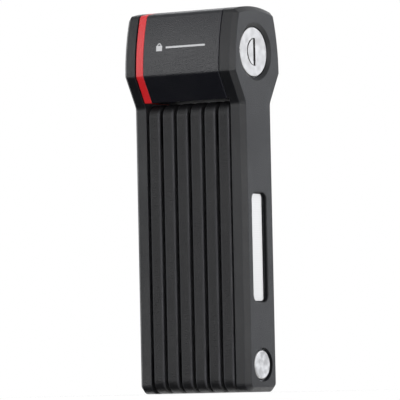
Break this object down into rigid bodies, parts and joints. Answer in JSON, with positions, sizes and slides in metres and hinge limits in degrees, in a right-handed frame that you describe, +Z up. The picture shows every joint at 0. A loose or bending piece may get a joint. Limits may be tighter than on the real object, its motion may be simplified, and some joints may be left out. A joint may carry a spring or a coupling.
{
  "type": "folding bike lock",
  "caption": "Folding bike lock: hinged steel bars in black sleeves, folded side by side under a lock head with a round key disc and a red ring.",
  "frame": {"origin": "middle of the folded stack's footprint, on the surface that the bar ends stand on", "axes": "+X along the hinge axes, from bar 1 to bar 8 and the key disc; +Z up along the folded bars to the lock head; -Y the front"},
  "size_m": [0.0636, 0.0428, 0.185],
  "materials": {
    "bar_steel": "hardened strip, dark satin",
    "bar_sleeve": "fine-textured black moulded sleeve",
    "head_plastic": "fine-textured black moulding",
    "accent_red": "satin red moulding",
    "reflective_white": "white retro-reflective strip",
    "rivet_steel": "satin, pressed head",
    "washer_plastic": "black acetal",
    "plate_steel": "dark satin",
    "screw_steel": "zinc plated",
    "zinc_die_cast": "zinc die casting, as cast",
    "cylinder_steel": "turned",
    "key_disc_satin": "light satin nickel",
    "detainer_brass": "stamped",
    "spring_steel": "phosphated",
    "bolt_steel": "ground and hardened"
  },
  "bodies": {
    "lock_head": {"bar_8_core": "bar_steel", "bar_8_cover": "bar_sleeve", "reflector_right": "reflective_white", "head_housing": "head_plastic", "accent_ring": "accent_red", "bolt_plate": "plate_steel", "plate_screws": "screw_steel", "lock_case": "zinc_die_cast", "case_screws": "screw_steel", "cylinder_body": "cylinder_steel", "hinge_rivet_8_7": "rivet_steel", "hinge_washer_8_7": "washer_plastic"},
    "bar_7": {"bar_7_core": "bar_steel", "bar_7_cover": "bar_sleeve", "hinge_rivet_7_6": "rivet_steel", "hinge_washer_7_6": "washer_plastic"},
    "bar_6": {"bar_6_core": "bar_steel", "bar_6_cover": "bar_sleeve", "hinge_rivet_6_5": "rivet_steel", "hinge_washer_6_5": "washer_plastic"},
    "bar_5": {"bar_5_core": "bar_steel", "bar_5_cover": "bar_sleeve", "hinge_rivet_5_4": "rivet_steel", "hinge_washer_5_4": "washer_plastic"},
    "bar_4": {"bar_4_core": "bar_steel", "bar_4_cover": "bar_sleeve", "hinge_rivet_4_3": "rivet_steel", "hinge_washer_4_3": "washer_plastic"},
    "bar_3": {"bar_3_core": "bar_steel", "bar_3_cover": "bar_sleeve", "hinge_rivet_3_2": "rivet_steel", "hinge_washer_3_2": "washer_plastic"},
    "bar_2": {"bar_2_core": "bar_steel", "bar_2_cover": "bar_sleeve", "hinge_rivet_2_1": "rivet_steel", "hinge_washer_2_1": "washer_plastic"},
    "bar_1": {"bar_1_core": "bar_steel", "bar_1_cover": "bar_sleeve", "reflector_left": "reflective_white"},
    "key_plug": {"key_disc": "key_disc_satin", "disc_cage": "cylinder_steel", "detainer_discs": "detainer_brass", "sidebar": "cylinder_steel", "cage_retaining_ring": "spring_steel", "drive_sleeve": "cylinder_steel"},
    "bolt": {"locking_bolt": "bolt_steel", "bolt_cross_pin": "bolt_steel"}
  },
  "joints": [
    {"name": "hinge_8_7", "type": "hinge", "parent": "lock_head", "child": "bar_7", "pos_m": [0.02385, 0, 0.013], "axis": [1, 0, 0], "range_deg": [0, 180]},
    {"name": "hinge_7_6", "type": "hinge", "parent": "bar_7", "child": "bar_6", "pos_m": [0.016, 0, 0.1268], "axis": [1, 0, 0], "range_deg": [-180, 0]},
    {"name": "hinge_6_5", "type": "hinge", "parent": "bar_6", "child": "bar_5", "pos_m": [0.008, 0, 0.013], "axis": [1, 0, 0], "range_deg": [0, 180]},
    {"name": "hinge_5_4", "type": "hinge", "parent": "bar_5", "child": "bar_4", "pos_m": [0, 0, 0.1268], "axis": [1, 0, 0], "range_deg": [-180, 0]},
    {"name": "hinge_4_3", "type": "hinge", "parent": "bar_4", "child": "bar_3", "pos_m": [-0.008, 0, 0.013], "axis": [1, 0, 0], "range_deg": [0, 180]},
    {"name": "hinge_3_2", "type": "hinge", "parent": "bar_3", "child": "bar_2", "pos_m": [-0.016, 0, 0.1268], "axis": [1, 0, 0], "range_deg": [-180, 0]},
    {"name": "hinge_2_1", "type": "hinge", "parent": "bar_2", "child": "bar_1", "pos_m": [-0.02385, 0, 0.013], "axis": [1, 0, 0], "range_deg": [0, 180]},
    {"name": "key_turn", "type": "hinge", "parent": "lock_head", "child": "key_plug", "pos_m": [0.0305, -0.0012, 0.163], "axis": [-1, 0, 0], "range_deg": [0, 90]},
    {"name": "bolt_slide", "type": "slide", "parent": "lock_head", "child": "bolt", "axis": [-1, 0, 0], "range_m": [0, 0.0046]}
  ],
  "couplings": [
    {"joint": "hinge_7_6", "follows": "hinge_8_7", "ratio": -1},
    {"joint": "hinge_5_4", "follows": "hinge_6_5", "ratio": -1},
    {"joint": "hinge_3_2", "follows": "hinge_4_3", "ratio": -1},
    {"joint": "bolt_slide", "follows": "key_turn", "m_per_rad": 0.002928}
  ]
}
